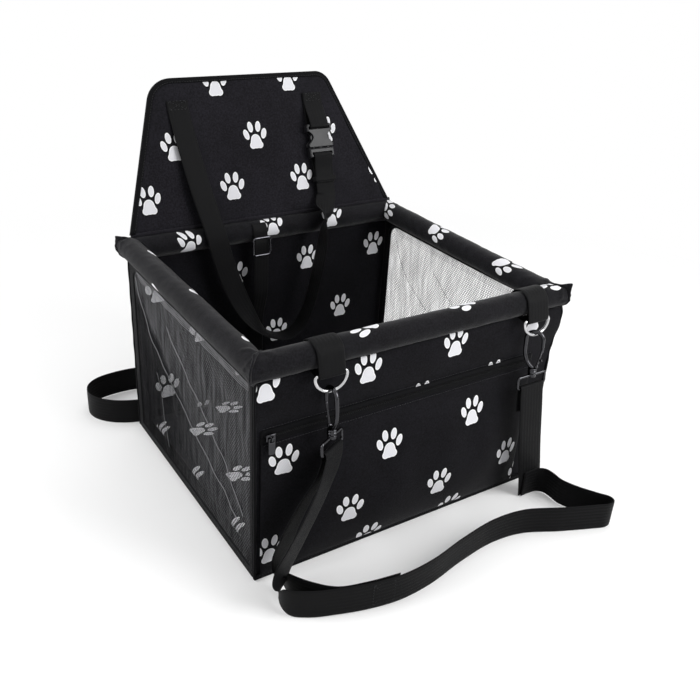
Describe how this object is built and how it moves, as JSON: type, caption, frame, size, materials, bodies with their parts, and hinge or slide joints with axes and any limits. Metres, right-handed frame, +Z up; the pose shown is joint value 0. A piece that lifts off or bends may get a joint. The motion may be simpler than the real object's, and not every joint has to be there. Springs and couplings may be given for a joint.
{
  "type": "dog car seat",
  "caption": "Folding fabric dog car seat: open box with mesh sides, padded rim, stiff back flap, zipped front pocket, a clip-on carry strap and buckled seat straps.",
  "frame": {"origin": "middle of the underside of the floor board, on the surface the seat stands on", "axes": "+X to the right along the front panel, +Y from the front panel to the back flap, +Z up"},
  "size_m": [0.4565, 0.5491, 0.4336],
  "materials": {
    "printed_fabric": "matte woven, printed",
    "plain_fabric": "matte woven",
    "mesh_fabric": "open mesh",
    "webbing": "woven strap",
    "chrome": "polished",
    "dark_metal": "dark plated, polished",
    "black_plastic": "moulded, satin",
    "tube_plastic": "plain"
  },
  "bodies": {
    "box": {"base_board": "plain_fabric", "floor_pad": "printed_fabric", "front_wall": "printed_fabric", "back_wall": "printed_fabric", "left_binding": "plain_fabric", "left_mesh": "mesh_fabric", "right_binding": "plain_fabric", "right_mesh": "mesh_fabric", "rim_sleeve_front": "printed_fabric", "rim_sleeve_right": "printed_fabric", "rim_sleeve_back": "printed_fabric", "rim_sleeve_left": "printed_fabric", "rim_tube_front": "tube_plastic", "rim_tube_right": "tube_plastic", "rim_tube_back": "tube_plastic", "rim_tube_left": "tube_plastic", "rim_elbow_front": "tube_plastic", "rim_elbow_right": "tube_plastic", "rim_elbow_back": "tube_plastic", "rim_elbow_left": "tube_plastic", "front_pocket": "printed_fabric", "zip_tape": "plain_fabric", "zip_teeth": "black_plastic", "ring_loop_left": "webbing", "ring_loop_right": "webbing", "carry_strap": "webbing", "drop_strap": "webbing", "tether_strap": "webbing", "tether_hook": "dark_metal", "tether_eye": "dark_metal", "seat_strap_left": "webbing", "seat_strap_right": "webbing", "seat_buckle_female": "black_plastic"},
    "slider": {"zip_slider": "dark_metal"},
    "pull": {"zip_pull": "dark_metal"},
    "flap": {"flap_panel": "printed_fabric", "flap_binding": "plain_fabric", "head_strap": "webbing", "head_anchor": "webbing", "head_buckle_female": "black_plastic"},
    "head_plug": {"head_buckle_male": "black_plastic", "head_tail": "webbing", "head_keeper": "webbing"},
    "seat_plug": {"seat_buckle_male": "black_plastic"},
    "left_ring": {"d_ring_left": "chrome"},
    "right_ring": {"d_ring_right": "chrome"},
    "left_clip_eye": {"left_eye": "dark_metal"},
    "right_clip_eye": {"right_eye": "dark_metal"},
    "left_snap_hook": {"left_hook": "dark_metal"},
    "right_snap_hook": {"right_hook": "dark_metal"},
    "left_snap_gate": {"left_gate": "dark_metal"},
    "right_snap_gate": {"right_gate": "dark_metal"},
    "tether_snap_gate": {"tether_gate": "dark_metal"},
    "tether_slide": {"tether_glide": "dark_metal"}
  },
  "joints": [
    {"name": "flap_fold", "type": "hinge", "parent": "box", "child": "flap", "pos_m": [0, 0.164, 0.2669], "axis": [1, 0, 0], "range_deg": [-60, 106], "deforming": ["head_strap"]},
    {"name": "head_release", "type": "slide", "parent": "flap", "child": "head_plug", "axis": [0, -0.342, -0.9397], "range_m": [0, 0.018]},
    {"name": "seat_release", "type": "slide", "parent": "box", "child": "seat_plug", "axis": [1, 0, 0], "range_m": [0, 0.0232], "deforming": ["seat_strap_right"]},
    {"name": "zip_travel", "type": "slide", "parent": "box", "child": "slider", "axis": [1, 0, 0], "range_m": [0, 0.332]},
    {"name": "pull_swing", "type": "hinge", "parent": "slider", "child": "pull", "pos_m": [-0.175, -0.1746, 0.176], "axis": [-1, 0, 0], "range_deg": [-3, 120]},
    {"name": "tether_adjust", "type": "slide", "parent": "box", "child": "tether_slide", "axis": [0, 0, 1], "range_m": [-0.04, 0]},
    {"name": "tether_gate_open", "type": "hinge", "parent": "box", "child": "tether_snap_gate", "pos_m": [-0.01792, 0.08072, 0.0212], "axis": [0, 0, 1], "range_deg": [0, 25], "stiffness_Nm_per_rad": 0.03, "springref_deg": -11.46},
    {"name": "left_clip_swing", "type": "hinge", "parent": "box", "child": "left_clip_eye", "pos_m": [-0.116, -0.18072, 0.23494], "axis": [-1, 0, 0], "range_deg": [-2, 60], "deforming": ["carry_strap"]},
    {"name": "left_ring_swing", "type": "hinge", "parent": "box", "child": "left_ring", "pos_m": [-0.116, -0.18072, 0.23494], "axis": [-1, 0, 0], "range_deg": [-2, 60]},
    {"name": "left_hook_swivel", "type": "hinge", "parent": "left_clip_eye", "child": "left_snap_hook", "pos_m": [-0.116, -0.18072, 0.23494], "axis": [0, 0.1045, 0.9945], "range_deg": [-25, 25]},
    {"name": "left_gate_open", "type": "hinge", "parent": "left_snap_hook", "child": "left_snap_gate", "pos_m": [-0.116, -0.1824, 0.17811], "axis": [1, 0, 0], "range_deg": [0, 25], "stiffness_Nm_per_rad": 0.05, "springref_deg": -11.46},
    {"name": "right_clip_swing", "type": "hinge", "parent": "box", "child": "right_clip_eye", "pos_m": [0.15, -0.18072, 0.23494], "axis": [-1, 0, 0], "range_deg": [-2, 60], "deforming": ["drop_strap"]},
    {"name": "right_ring_swing", "type": "hinge", "parent": "box", "child": "right_ring", "pos_m": [0.15, -0.18072, 0.23494], "axis": [-1, 0, 0], "range_deg": [-2, 60]},
    {"name": "right_hook_swivel", "type": "hinge", "parent": "right_clip_eye", "child": "right_snap_hook", "pos_m": [0.15, -0.18072, 0.23494], "axis": [0, 0.1045, 0.9945], "range_deg": [-30, 15]},
    {"name": "right_gate_open", "type": "hinge", "parent": "right_snap_hook", "child": "right_snap_gate", "pos_m": [0.15245, -0.19013, 0.17892], "axis": [-0.8192, -0.5704, 0.06], "range_deg": [0, 25], "stiffness_Nm_per_rad": 0.05, "springref_deg": -11.46}
  ],
  "couplings": [
    {"joint": "left_ring_swing", "follows": "left_clip_swing", "ratio": 1},
    {"joint": "right_ring_swing", "follows": "right_clip_swing", "ratio": 1}
  ]
}
